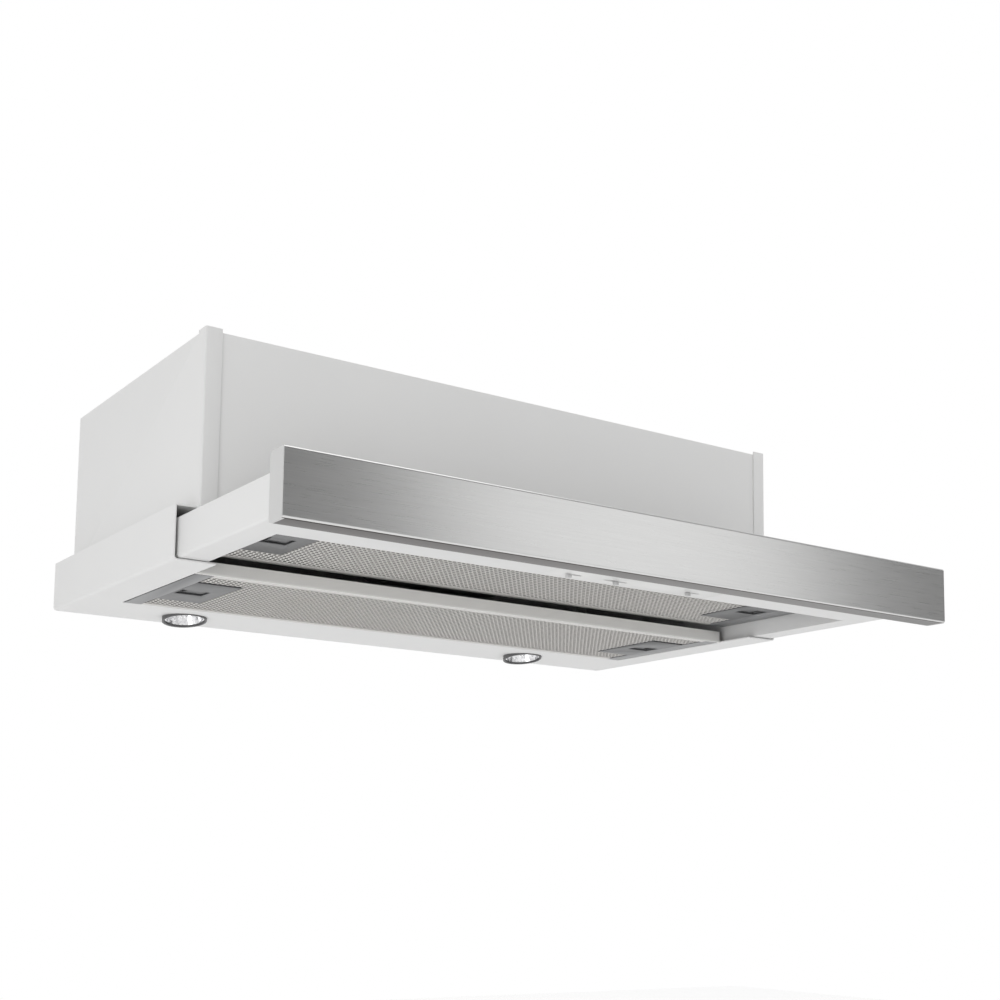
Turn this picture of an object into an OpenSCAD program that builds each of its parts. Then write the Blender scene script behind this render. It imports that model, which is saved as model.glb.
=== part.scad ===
// Slide-out range hood for a 600 mm wall cabinet, drawn with its drawer pulled out.
// +X is to the right, the room is at -Y and the wall at +Y, +Z is up.
// The origin is the middle of the four cabinet screws, on the ledge that the cabinet rests on.

/* [Canopy] */
// Width of the lower canopy
canopy_w = 582; // [480:1:900]
// Depth of the lower canopy
canopy_d = 262; // [240:1:400]
// Height of the lower canopy under the cabinet
canopy_h = 40; // [38:1:60]
// Thickness of the sheet steel
sheet = 1; // [0.6:0.1:1.5]
// Outer radius of the folded canopy edges
canopy_edge_r = 3; // [1.5:0.5:6]
// Depth of the strip behind the fixed filter that holds the lamps
lamp_strip_d = 76; // [70:1:100]
// Distance of the four cabinet screws front to back
screw_span_y = 100; // [60:1:100]

/* [Upper box] */
// Width of the ledge on either side of the box, which the cabinet rests on
ledge_w = 16; // [10:1:30]
// Height of the box above the ledge
box_h = 132; // [130:1:220]
// How far the box stands in front of the canopy
box_lead = 5; // [0:1:12]
// Width of the folded flanges of the side panels
flange_w = 13; // [8:1:20]
// Step from the side panels down to the top of the front panel
box_step = 2.5; // [1:0.5:6]

/* [Fascia] */
// How far the steel fascia reaches past the canopy on either side
fascia_reach = 8; // [2:1:16]
// Height of the steel fascia
fascia_h = 45; // [40:1:70]
// Depth of the fascia with its folded edges
fascia_d = 19; // [14:1:30]
// How far the fascia hangs below the canopy
fascia_drop = 7.7; // [2:0.1:15]
// Thickness of the fascia steel
fascia_t = 1.2; // [0.8:0.1:2]
// Thickness of an end cap
cap_t = 2; // [1:0.5:4]

/* [Drawer] */
// How far the drawer is pulled out
drawer_travel = 144; // [100:1:150]
// Gap between the drawer and the canopy wall beside it
drawer_side_gap = 2; // [1:0.5:4]
// Height of the drawer tray
drawer_h = 29; // [27:0.5:30]
// Width of the drawer's side rims
drawer_rim_w = 23.5; // [22:0.5:40]
// Width of the drawer's front rim
drawer_front_w = 60; // [45:1:80]
// Room behind the drawer's side arms when it is shut
drawer_rear_room = 26; // [20:1:60]

/* [Grease filters] */
// Depth of a filter, front to back
filter_d = 146; // [120:1:150]
// Thickness of a filter
filter_t = 8.5; // [8:0.5:12]
// Height of the drawer's filter above the canopy's underside
filter_lift = 15; // [14:0.5:18]
// Pitch of the folds of the mesh
mesh_pitch = 5; // [4:0.5:12]
// Length of a grip plate, front to back
grip_l = 80; // [50:1:100]
// Width of a grip plate
grip_w = 37; // [30:1:50]
// Distance from the middle of a filter to the inner edge of a grip plate
grip_inner_x = 206; // [150:1:360]
// Travel of a filter latch
latch_travel = 4.5; // [3:0.5:4.5]

/* [Controls] */
// Left edge of the control plate
control_left_x = -55; // [-120:1:-45]
// Right edge of the control plate
control_right_x = 105; // [100:1:140]
// Place of the light knob
light_knob_x = -36; // [-40:1:-30]
// Place of the speed knob
speed_knob_x = 8; // [0:1:20]
// Place of the power knob
power_knob_x = 79; // [60:1:85]
// Travel of the two short knobs
short_travel = 10; // [6:1:12]
// Travel of the speed knob to either side
speed_travel = 9; // [6:1:12]

/* [Lamps] */
// Distance between the lamps
lamp_span = 355; // [240:1:440]
// How far to the right of the middle the lamps are
lamp_shift = -12; // [-30:1:30]
// Tilt of the lamps towards the room, in degrees
lamp_tilt = 8; // [0:1:12]
// Radius of the halogen reflector's rim
lamp_r = 17.5; // [17:0.5:25]
// How far the front of a lamp's ring stands below the canopy
lamp_ring_h = 0.8; // [0.5:0.1:3]

/* [Blower and duct] */
// Outer radius of the duct spigot
duct_r = 59.5; // [49:0.5:60]
// Height of the duct spigot above the top panel
duct_h = 25; // [20:1:60]
// Radius of the impeller over its blades
impeller_r = 46; // [36:1:46]
// Length of the impeller
impeller_l = 94; // [60:1:94]
// Number of impeller blades
blade_count = 30; // [16:1:40]
// Width of the scroll housing inside
scroll_w = 110; // [100:1:120]
// Radius of the motor
motor_r = 36; // [28:1:38]
// Length of the motor case
motor_l = 50; // [40:1:70]

/* [Hidden] */
$fn = 48;
// Clearance between pieces that slide past each other
slide_gap = 0.4;
// Clearance between pieces that are set into each other
fit_gap = 0.3;
// Small overlap that makes a cut run past a face
cut = 1;

// Canopy
rear_y = canopy_d / 2;
front_y = -canopy_d / 2;
under_z = -canopy_h;
opening_rim_w = 32.5;
opening_w = canopy_w - 2 * opening_rim_w;
screw_span_x = canopy_w - ledge_w;
strip_front_y = rear_y - lamp_strip_d;
seam_z = -12;

// Fixed filter and the bar in front of it
fixed_filter_w = opening_w - 3;
fixed_filter_y = strip_front_y - 0.5 - filter_d / 2;
cross_bar_t = 1.2;
cross_bar_w = 9;
cross_bar_h = 10;
cross_bar_y = fixed_filter_y - filter_d / 2 - cross_bar_t - 0.5;

// Upper box
box_w = canopy_w - 2 * ledge_w;
box_front_y = front_y - box_lead;
skirt_z = -8;
top_z = box_h - box_step - 2 * sheet;
bend_r = 1.6 * sheet;
panel_half_w = box_w / 2 - bend_r;
panel_fold = 12;

// Drawer, pulled out. It shuts until its front rim reaches the cross bar, which leaves the fascia
// in front of the box by the thickness of the cabinet's door
cross_bar_gap = 1.8;
fascia_gap = max(3, box_front_y + drawer_front_w - cross_bar_y + cross_bar_gap);
drawer_w = canopy_w - 2 * (sheet + drawer_side_gap);
drawer_bottom_z = under_z + sheet + 0.6;
drawer_top_z = drawer_bottom_z + drawer_h;
drawer_front_y = box_front_y - fascia_gap - drawer_travel;
drawer_rear_y = rear_y - drawer_rear_room - drawer_travel;
drawer_opening_w = drawer_w - 2 * drawer_rim_w;
drawer_opening_y = drawer_front_y + drawer_front_w;
tray_edge_r = 2.5;
tray_flange_w = 9;

// Fascia
fascia_w = canopy_w + 2 * fascia_reach;
fascia_front_y = drawer_front_y - fascia_d;
fascia_z = under_z - fascia_drop;
fascia_lip = 20;
fascia_fold_r = 2;

// Filters
drawer_filter_w = drawer_opening_w - 3;
drawer_filter_y = drawer_opening_y + 0.5 + filter_d / 2;
drawer_filter_z = under_z + filter_lift;
seat_z = drawer_filter_z + filter_t + fit_gap;
seat_w = 14.5;
filter_sheet = 1;
filter_lip = 6;
grip_t = 1.2;
window_l = 18;
window_w = 23;
window_inset = 2.4;
slider_z = grip_t + fit_gap;
slider_t = 2;
slider_w = 26;
tongue_w = 12;
tongue_reach = 4.5;
hook_x = 90;
hook_w = 24;
hook_reach = 3.5;

// Rails
rail_l = 236;
rail_h = 22;
rail_t = 1.2;
rail_d = 9;
rail_z = drawer_bottom_z + 15.4;
rail_stop = 12;
rail_rear_y = drawer_rear_y + drawer_travel + rail_stop;
rail_tab_z = rail_z - rail_h / 2;
rail_root_x = box_w / 2;

// Controls
control_y = drawer_opening_y - 13;
control_t = 2;
slot_w = 2.8;
stem_l = 2.6;
knob_l = 4;
knob_w = 3.4;
knob_h = 2.4;
switch_box_h = 16;

// Blower
blower_y = -19;
blower_z = 54;
scroll_r0 = impeller_r + 4;
scroll_r1 = scroll_r0 + 18;
scroll_t = 1.5;
outlet_half = 55;
scroll_flange_w = 8;
duct_y = blower_y + 34;
inlet_r = impeller_r - 5;
motor_screw_r = impeller_r - 4;
motor_hole_r = 24;
shaft_r = 4;
shaft_fit = 0.05;
motor_x = scroll_w / 2 + 7;

// Duct
duct_t = 2;
duct_flange_half = outlet_half + scroll_flange_w;
damper_z = top_z + sheet + 11.5;
damper_pin_r = 1.5;
damper_pin_fit = 0.06;
flap_t = 1.2;
flap_r = duct_r - duct_t - 0.7;
knuckle_w = 12;

// Electrical pieces
gland_x = -187;
gland_y = 70;
gland_r = 8;
term_w = 86;
term_d = 60;
term_h = 34;
transformer_h = 26;
capacitor_r = 14;
capacitor_l = 52;

// Lamps
lamp_y = rear_y - 40;
lamp_ring_r = lamp_r + 1.4;
lamp_ring_t = 1.2;
lamp_drop = lamp_ring_r * sin(lamp_tilt) + lamp_ring_h - lamp_ring_t;
lamp_collar_h = 3;
bowl_h = 17;

white_paint = [0.93, 0.93, 0.92];
steel = [0.66, 0.66, 0.65];
aluminium = [0.78, 0.77, 0.75];
grip_grey = [0.42, 0.43, 0.45];
dark = [0.16, 0.16, 0.17];

// ---------- shared shapes ----------

// Right-hand piece as drawn, or its mirror image on the left
module on_side(side) mirror([side < 0 ? 1 : 0, 0, 0]) children();

// Block given by its two opposite corners
module block(low, high) translate(low) cube(high - low);

// Block with all its edges and corners rounded
module soft_block(low, high, r) {
    block(low + [r, r, 0], high - [r, r, 0]);
    block(low + [r, 0, r], high - [r, 0, r]);
    block(low + [0, r, r], high - [0, r, r]);
    for (x = [low[0] + r, high[0] - r], y = [low[1] + r, high[1] - r]) {
        translate([x, y, low[2] + r]) cylinder(r = r, h = high[2] - low[2] - 2 * r);
        for (z = [low[2] + r, high[2] - r])
            translate([x, y, z]) sphere(r = r);
    }
    for (x = [low[0] + r, high[0] - r], z = [low[2] + r, high[2] - r])
        translate([x, low[1] + r, z]) rotate([-90, 0, 0]) cylinder(r = r, h = high[1] - low[1] - 2 * r);
    for (y = [low[1] + r, high[1] - r], z = [low[2] + r, high[2] - r])
        translate([low[0] + r, y, z]) rotate([0, 90, 0]) cylinder(r = r, h = high[0] - low[0] - 2 * r);
}

// Rectangle round the origin with rounded corners
module rounded_square(l, w, r) {
    square([l - 2 * r, w], center = true);
    square([l, w - 2 * r], center = true);
    for (x = [-1, 1] * (l / 2 - r), y = [-1, 1] * (w / 2 - r))
        translate([x, y]) circle(r = r);
}

// Pan head screw with its head on top of z = 0 and its shank below
module screw(shank_l, shank_r = 1.5, head_r = 3.2, head_h = 1.8) {
    difference() {
        union() {
            cylinder(r = head_r, h = head_h * 0.6);
            translate([0, 0, head_h * 0.6]) cylinder(r1 = head_r, r2 = head_r * 0.7, h = head_h * 0.4);
        }
        for (turn = [0, 90])
            rotate([0, 0, turn]) block([-head_r * 0.55, -0.4, head_h * 0.45],
                                       [head_r * 0.55, 0.4, head_h + cut]);
    }
    translate([0, 0, -shank_l]) cylinder(r = shank_r, h = shank_l);
}

// Shape drawn in the Y-Z plane, pulled out along +X
module along_x(length) rotate([90, 0, 90]) linear_extrude(height = length) children();

// ---------- canopy ----------

module canopy_frame() color(white_paint) difference() {
    intersection() {
        soft_block([-canopy_w / 2, front_y - 20, under_z], [canopy_w / 2, rear_y, 20], canopy_edge_r);
        block([-canopy_w, front_y, under_z - cut], [canopy_w, rear_y + cut, 0]);
    }
    // Hollow inside the folded sheet
    intersection() {
        soft_block([-canopy_w / 2 + sheet, front_y - 20, under_z + sheet],
                   [canopy_w / 2 - sheet, rear_y - sheet, 20], canopy_edge_r - sheet);
        block([-canopy_w, front_y - 21, under_z], [canopy_w, rear_y, -sheet]);
    }
    // Open top under the upper box
    block([-box_w / 2, front_y - cut, -2 * sheet], [box_w / 2, rear_y - sheet, cut]);
    // Notch for the back panel
    block([-box_w / 2, rear_y - 2 * sheet, seam_z], [box_w / 2, rear_y + cut, cut]);
    // Opening of the fixed filter, open towards the room
    block([-opening_w / 2, front_y - cut, under_z - cut],
          [opening_w / 2, strip_front_y, under_z + 2 * sheet]);
    for (side = [-1, 1])
        at_lamp_hole(side) translate([0, 0, -cut]) cylinder(r = lamp_r + 0.7, h = 2 * cut + sheet);
    for (x = [-1, 1] * screw_span_x / 2, y = [-1, 1] * screw_span_y / 2)
        translate([x, y, -2 * sheet]) cylinder(r = 2.5, h = 4 * sheet);
}

// Folded bar in front of the fixed filter, on two feet that stand on the rims
module filter_cross_bar() color(aluminium) {
    rear = cross_bar_y + cross_bar_w;
    top = under_z + cross_bar_h;
    foot_l = 5;
    block([-opening_w / 2, cross_bar_y, under_z], [opening_w / 2, cross_bar_y + cross_bar_t, top]);
    block([-opening_w / 2, cross_bar_y, top - cross_bar_t], [opening_w / 2, rear, top]);
    for (side = [-1, 1])
        on_side(side) {
            block([opening_w / 2 - 1, cross_bar_y, under_z + sheet],
                  [opening_w / 2 + foot_l, rear, under_z + 2 * sheet]);
            block([opening_w / 2 - 1, cross_bar_y, under_z + sheet], [opening_w / 2, rear, top]);
        }
}

// ---------- upper box ----------

// Outline of a side panel seen from above, with its flanges turned in over small bends
module side_outline() difference() {
    mid = [box_w / 2 - 2 * flange_w, (box_front_y + rear_y - sheet) / 2];
    depth = rear_y - sheet - box_front_y;
    translate(mid) rounded_square(4 * flange_w, depth, bend_r);
    translate(mid) rounded_square(4 * flange_w - 2 * sheet, depth - 2 * sheet, bend_r - sheet);
    translate([box_w / 2 - 5 * flange_w, box_front_y - cut]) square([4 * flange_w, depth + 2 * cut]);
}

module box_side(side) color(white_paint) on_side(side) difference() {
    union() {
        translate([0, 0, skirt_z]) linear_extrude(height = box_h - skirt_z) side_outline();
        // Lower tab that carries the rail
        block([box_w / 2 - sheet, rail_rear_y - rail_l - 2, rail_tab_z],
              [box_w / 2, rear_y - 3, skirt_z + cut]);
        // Top flange
        block([box_w / 2 - flange_w, box_front_y + 2 * sheet, top_z - sheet],
              [box_w / 2 - sheet / 2, rear_y - 2 * sheet - fit_gap, top_z]);
    }
    // Rear flange cut down to the top panel
    block([box_w / 2 - flange_w - cut, rear_y - panel_fold, top_z],
          [box_w / 2 - sheet, rear_y, box_h + cut]);
    // Wall cut down to the height of the other panels behind the front flange
    block([box_w / 2 - 2 * sheet, box_front_y + flange_w, box_h - box_step],
          [box_w / 2 + cut, rear_y, box_h + cut]);
    for (y = top_screw_ys())
        translate([box_w / 2 - flange_w / 2, y, top_z - 2 * sheet]) cylinder(r = 1.7, h = 3 * sheet);
}

function top_screw_ys() = [-1, 0, 1] * (canopy_d / 2 - 21);

module box_side_left() box_side(-1);
module box_side_right() box_side(1);

module box_front_panel() color(white_paint) {
    panel_y = box_front_y + sheet;
    block([-panel_half_w, panel_y, skirt_z], [panel_half_w, panel_y + sheet, box_h - box_step]);
    block([-panel_half_w, panel_y, top_z + sheet], [panel_half_w, panel_y + panel_fold, box_h - box_step]);
    block([-panel_half_w, panel_y, skirt_z], [panel_half_w, panel_y + panel_fold, skirt_z + sheet]);
}

module box_back_panel() color(white_paint) {
    block([-box_w / 2 + fit_gap, rear_y - sheet, seam_z + 0.1],
          [box_w / 2 - fit_gap, rear_y, box_h - box_step]);
    block([-panel_half_w, rear_y - panel_fold, top_z + sheet], [panel_half_w, rear_y, box_h - box_step]);
}

module box_top_panel() color(white_paint) difference() {
    block([-panel_half_w, box_front_y + 2 * sheet + fit_gap, top_z],
          [panel_half_w, rear_y - sheet - fit_gap, top_z + sheet]);
    translate([0, duct_y, top_z - cut]) cylinder(r = duct_r - duct_t, h = sheet + 2 * cut);
    translate([gland_x, gland_y, top_z - cut]) cylinder(r = gland_r + fit_gap, h = sheet + 2 * cut);
    for (x = [-1, 1] * (box_w - flange_w) / 2, y = top_screw_ys())
        translate([x, y, top_z - cut]) cylinder(r = 1.7, h = sheet + 2 * cut);
    for (place = outlet_screw_places())
        translate([place[0], place[1], top_z - cut]) cylinder(r = 1.7, h = sheet + 2 * cut);
}

// Screws that hold the spigot, the top panel and the scroll's outlet flange together
function outlet_screw_places() =
    [for (x = [-1, 1], y = [-1, 1]) [0, duct_y] + (outlet_half + scroll_flange_w / 2) * [x, y]];

// ---------- duct ----------

module duct_spigot() color(dark) translate([0, duct_y, top_z + sheet]) difference() {
    union() {
        linear_extrude(height = duct_t) rounded_square(2 * duct_flange_half, 2 * duct_flange_half, 7);
        cylinder(r = duct_r, h = duct_h);
    }
    translate([0, 0, -cut]) cylinder(r = duct_r - duct_t, h = duct_h + 2 * cut);
    translate([-duct_r - cut, 0, damper_z - top_z - sheet]) rotate([0, 90, 0])
        cylinder(r = damper_pin_r + fit_gap / 3, h = 2 * duct_r + 2 * cut);
    for (place = outlet_screw_places())
        translate([place[0], place[1] - duct_y, -cut]) cylinder(r = 1.7, h = duct_t + 2 * cut);
}

module damper_pin() color(steel)
    translate([-duct_r + fit_gap, duct_y, damper_z]) rotate([0, 90, 0])
        cylinder(r = damper_pin_r, h = 2 * (duct_r - fit_gap));

// Half disc with two knuckles on the pin; side 1 is the rear flap
module damper_flap(side) color(dark) translate([0, duct_y, damper_z]) mirror([0, side < 0 ? 1 : 0, 0])
    difference() {
        union() {
            intersection() {
                translate([0, 0, -flap_t / 2]) cylinder(r = flap_r, h = flap_t);
                block([-duct_r, damper_pin_r + 2.1, -flap_t], [duct_r, duct_r, flap_t]);
            }
            for (x = [-20, flap_r - 13])
                translate([side * x - knuckle_w / 2, 0, 0]) {
                    rotate([0, 90, 0]) cylinder(r = damper_pin_r + 1.4, h = knuckle_w);
                    block([0, damper_pin_r, -flap_t / 2], [knuckle_w, damper_pin_r + 3, flap_t / 2]);
                }
        }
        translate([-duct_r, 0, 0]) rotate([0, 90, 0])
            cylinder(r = damper_pin_r + damper_pin_fit, h = 2 * duct_r);
    }

module damper_flap_front() damper_flap(-1);
module damper_flap_rear() damper_flap(1);

// ---------- blower ----------

// Point of the spiral at angle t past the tongue, grown outwards by a wall
function spiral(t, wall) =
    [blower_y, blower_z] + (scroll_r0 + (scroll_r1 - scroll_r0) * t / 270 + wall) * [-sin(t), cos(t)];

// Outline of the scroll with its outlet, which opens upwards
module scroll_outline(wall, first)
    polygon(concat([for (t = [first:6:270]) spiral(t, wall)],
                   [[duct_y + outlet_half + wall, top_z], [duct_y - outlet_half - 1.4 * wall, top_z]]));

module blower_scroll() color(steel) difference() {
    union() {
        translate([-scroll_w / 2, 0, 0]) along_x(scroll_w) difference() {
            scroll_outline(scroll_t, 6);
            scroll_outline(0, 0);
        }
        for (x = [-scroll_w / 2 - scroll_t, scroll_w / 2])
            translate([x, 0, 0]) along_x(scroll_t) scroll_outline(scroll_t, 6);
        // Flange under the top panel
        difference() {
            block([-scroll_w / 2 - scroll_flange_w, duct_y - outlet_half - scroll_flange_w, top_z - scroll_t],
                  [scroll_w / 2 + scroll_flange_w, duct_y + outlet_half + scroll_flange_w, top_z]);
            block([-scroll_w / 2, duct_y - outlet_half, top_z - 2 * scroll_t],
                  [scroll_w / 2, duct_y + outlet_half, top_z + cut]);
        }
    }
    translate([-scroll_w / 2 - 2 * scroll_t, blower_y, blower_z]) rotate([0, 90, 0])
        cylinder(r = inlet_r, h = 3 * scroll_t);
    translate([scroll_w / 2 - scroll_t, blower_y, blower_z]) rotate([0, 90, 0])
        cylinder(r = motor_hole_r, h = 3 * scroll_t);
    for (place = outlet_screw_places())
        translate([place[0], place[1], top_z - 3 * scroll_t]) cylinder(r = 1.7, h = 4 * scroll_t);
    motor_screw_holes();
}

module motor_screw_holes()
    for (a = [90:120:330])
        translate([scroll_w / 2 - scroll_t, blower_y, blower_z]) rotate([a, 0, 0])
            translate([0, motor_screw_r, 0]) rotate([0, 90, 0]) cylinder(r = 1.7, h = 4 * scroll_t);

// Bellmouth that leads the air into the impeller
module inlet_ring() color(dark)
    translate([-scroll_w / 2 - scroll_t, blower_y, blower_z]) rotate([0, 90, 0]) rotate_extrude() {
        mouth_r = 6;
        neck_r = inlet_r - 5;
        difference() {
            translate([neck_r, -mouth_r]) square([mouth_r + 5.5, mouth_r]);
            translate([neck_r + mouth_r + 1.5, -mouth_r]) square([10, mouth_r - 1.5]);
            translate([neck_r - mouth_r, -mouth_r]) square([mouth_r, mouth_r]);
            translate([neck_r - 0.01, -mouth_r - 0.01]) circle(r = mouth_r - 1.5);
        }
        translate([neck_r, -1.5]) square([1.5, 9]);
    }

module impeller() color(dark) translate([0, blower_y, blower_z]) difference() {
    union() {
        translate([-impeller_l / 2 - 1, 0, 0]) rotate([0, 90, 0]) difference() {
            cylinder(r = impeller_r + 0.3, h = 2);
            translate([0, 0, -cut]) cylinder(r = impeller_r - 8, h = 2 + 2 * cut);
        }
        translate([impeller_l / 2 - 1, 0, 0]) rotate([0, 90, 0]) cylinder(r = impeller_r + 0.3, h = 2);
        translate([impeller_l / 2 - 18, 0, 0]) rotate([0, 90, 0]) cylinder(r = 10, h = 18);
        for (k = [0:blade_count - 1])
            translate([-impeller_l / 2, 0, 0]) along_x(impeller_l) rotate(k * 360 / blade_count) blade();
    }
    translate([-impeller_l, 0, 0]) rotate([0, 90, 0]) cylinder(r = shaft_r + shaft_fit, h = 2 * impeller_l);
}

// Forward curved blade, seen along the shaft
module blade() {
    face = [for (s = [0:0.25:1]) [impeller_r - 7.8 + 7.8 * s, 14 * s * s]];
    polygon([for (p = concat(face, [for (k = [4:-1:0]) face[k] + [0, 1.6]])) p[0] * [cos(p[1]), sin(p[1])]]);
}

module motor_shaft() color(steel) translate([impeller_l / 2 - 18, blower_y, blower_z])
    rotate([0, 90, 0]) cylinder(r = shaft_r, h = motor_x + motor_l + 12 - impeller_l / 2 + 18);

module motor_body() color(steel) translate([motor_x, blower_y, blower_z]) rotate([0, 90, 0]) difference() {
    union() {
        cylinder(r = motor_r, h = motor_l);
        translate([0, 0, -6]) cylinder(r = 22, h = motor_l + 12);
        for (a = [0:30:330])
            rotate([0, 0, a]) block([motor_r - 1, -1, 4], [motor_r + 1.6, 1, motor_l - 4]);
    }
    translate([0, 0, -10]) cylinder(r = shaft_r + shaft_fit, h = motor_l + 20);
}

module motor_bracket() color(steel) difference() {
    translate([scroll_w / 2 + scroll_t, blower_y, blower_z]) rotate([0, 90, 0]) difference() {
        union() {
            cylinder(r = motor_screw_r + 6, h = 2);
            for (a = [30:120:270])
                rotate([0, 0, a]) translate([29, 0, 0])
                    cylinder(r = 4, h = motor_x - scroll_w / 2 - scroll_t);
        }
        translate([0, 0, -cut]) cylinder(r = motor_hole_r, h = 20);
    }
    motor_screw_holes();
}

// ---------- electrical pieces ----------

module capacitor() color(white_paint)
    translate([150, rear_y - sheet, top_z - transformer_h - capacitor_r - 4]) rotate([90, 0, 0]) {
        cylinder(r = capacitor_r, h = capacitor_l);
        translate([0, 0, capacitor_l]) cylinder(r = capacitor_r - 3, h = 3);
    }

module lamp_transformer() color(dark)
    block([120, 50, top_z - transformer_h], [188, 92, top_z]);

module terminal_box() color(dark) difference() {
    block([gland_x - term_w / 2, gland_y - term_d / 2, top_z - term_h],
          [gland_x + term_w / 2, gland_y + term_d / 2, top_z]);
    block([gland_x - term_w / 2 + 2, gland_y - term_d / 2 + 2, top_z - term_h - cut],
          [gland_x + term_w / 2 - 2, gland_y + term_d / 2 - 2, top_z - 2]);
    translate([gland_x, gland_y, top_z - 5]) cylinder(r = gland_r + fit_gap, h = 10);
}

module terminal_box_lid() color(dark) {
    block([gland_x - term_w / 2, gland_y - term_d / 2, top_z - term_h - 2],
          [gland_x + term_w / 2, gland_y + term_d / 2, top_z - term_h]);
    block([gland_x - term_w / 2 + 2.3, gland_y - term_d / 2 + 2.3, top_z - term_h],
          [gland_x + term_w / 2 - 2.3, gland_y + term_d / 2 - 2.3, top_z - term_h + 3]);
}

module cable_gland() color(dark) translate([gland_x, gland_y, top_z + sheet]) difference() {
    union() {
        cylinder(r = gland_r + 4, h = 7, $fn = 6);
        translate([0, 0, 7]) cylinder(r1 = gland_r + 2, r2 = gland_r, h = 7);
        translate([0, 0, -12]) cylinder(r = gland_r, h = 12);
    }
    translate([0, 0, -20]) cylinder(r = 4, h = 40);
}

plunger_x = box_w / 2 - 5;
plunger_z = rail_z - 2;
plunger_tip_y = drawer_rear_y + drawer_travel + fit_gap;

module drawer_switch() color(dark) on_side(-1) difference() {
    block([box_w / 2 - 8.5, plunger_tip_y + 3.7, plunger_z - 6],
          [box_w / 2 - sheet, rear_y - 3, plunger_z + 10]);
    block([plunger_x - 2, plunger_tip_y, plunger_z - 2],
          [plunger_x + 2, plunger_tip_y + 14, plunger_z + 2]);
}

module drawer_switch_plunger() color(white_paint) on_side(-1)
    block([plunger_x - 1.7, plunger_tip_y, plunger_z - 1.7],
          [plunger_x + 1.7, plunger_tip_y + 11, plunger_z + 1.7]);

// ---------- rails ----------

// Channel that opens towards +X, with its outer faces half_h above and below
module rail_channel(depth, half_h, length)
    rotate([90, 0, 0]) linear_extrude(height = length) difference() {
        translate([0, -half_h]) square([depth, 2 * half_h]);
        translate([rail_t, -half_h + rail_t]) square([depth, 2 * (half_h - rail_t)]);
    }

module rail_fixed(side) color(steel) on_side(side)
    translate([rail_root_x, rail_rear_y, rail_z]) rail_channel(rail_d, rail_h / 2, rail_l);

module rail_middle(side) color(steel) on_side(side)
    translate([rail_root_x + 2, rail_rear_y - drawer_travel / 2, rail_z])
        rail_channel(rail_d - 1, rail_h / 2 - rail_t - slide_gap, rail_l);

module rail_inner(side) color(steel) on_side(side)
    translate([drawer_w / 2 - sheet, drawer_rear_y, rail_z]) mirror([1, 0, 0])
        rail_channel(rail_d - 1, rail_h / 2 - 2 * (rail_t + slide_gap), rail_l - rail_stop);

module rail_fixed_left() rail_fixed(-1);
module rail_fixed_right() rail_fixed(1);
module rail_middle_left() rail_middle(-1);
module rail_middle_right() rail_middle(1);
module rail_inner_left() rail_inner(-1);
module rail_inner_right() rail_inner(1);

// ---------- lamps ----------

// Middle of a lamp's hole in the canopy, and the middle of the lamp's tilted face
module at_lamp_hole(side) translate([lamp_shift + side * lamp_span / 2, lamp_y, under_z]) children();
module at_lamp(side) at_lamp_hole(side) translate([0, -lamp_collar_h * sin(lamp_tilt), -lamp_drop])
    rotate([-lamp_tilt, 0, 0]) children();

// Dark ring round the lamp, cut at a slant so that the lamp faces the room. Its collar stands in the hole
module lamp_ring(side) color(dark) difference() {
    union() {
        intersection() {
            at_lamp_hole(side) translate([0, 0, -2 * bowl_h]) cylinder(r = lamp_ring_r, h = 2 * bowl_h);
            at_lamp(side) block([-2 * lamp_r, -2 * lamp_r, -lamp_ring_t], [2 * lamp_r, 2 * lamp_r, bowl_h]);
        }
        at_lamp_hole(side) cylinder(r = lamp_r + 0.5, h = lamp_collar_h);
    }
    at_lamp(side) translate([0, 0, -bowl_h]) cylinder(r = lamp_r - 0.4, h = 2 * bowl_h);
}

// Halogen lamp: a bowl with the glass capsule in it and the neck for its two contact pins
module lamp_reflector(side) color(aluminium) at_lamp(side) rotate_extrude() {
    wall = 1.2;
    capsule_r = 3.5;
    rim_r = lamp_r - 0.8;
    bowl = [for (s = [0:0.125:1]) [5 + (rim_r - 5 - wall) * sqrt(s), bowl_h * (1 - s)]];
    polygon(concat(bowl, [for (k = [8:-1:0]) bowl[k] + [wall, 0]]));
    translate([0, bowl_h - 1.5]) square([6.2, 1.5]);
    translate([0, bowl_h]) square([4.5, 8]);
    // Capsule
    intersection() {
        translate([0, capsule_r + 2]) circle(r = capsule_r);
        translate([0, 0]) square([capsule_r, capsule_r + 2]);
    }
    translate([0, capsule_r + 2]) square([capsule_r, bowl_h - capsule_r - 3]);
}

module lamp_holder(side) color(white_paint) at_lamp(side) difference() {
    translate([-9, -7, bowl_h + 2]) cube([18, 14, 12]);
    cylinder(r = 4.8, h = bowl_h + 8.5);
}

module lamp_ring_left() lamp_ring(-1);
module lamp_ring_right() lamp_ring(1);
module lamp_reflector_left() lamp_reflector(-1);
module lamp_reflector_right() lamp_reflector(1);
module lamp_holder_left() lamp_holder(-1);
module lamp_holder_right() lamp_holder(1);

// ---------- grease filters ----------

// Moves a filter drawn round its own middle, underside at z = 0, to its place
module at_fixed_filter() translate([0, fixed_filter_y, under_z]) children();
module at_drawer_filter() translate([0, drawer_filter_y, drawer_filter_z]) children();

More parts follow.
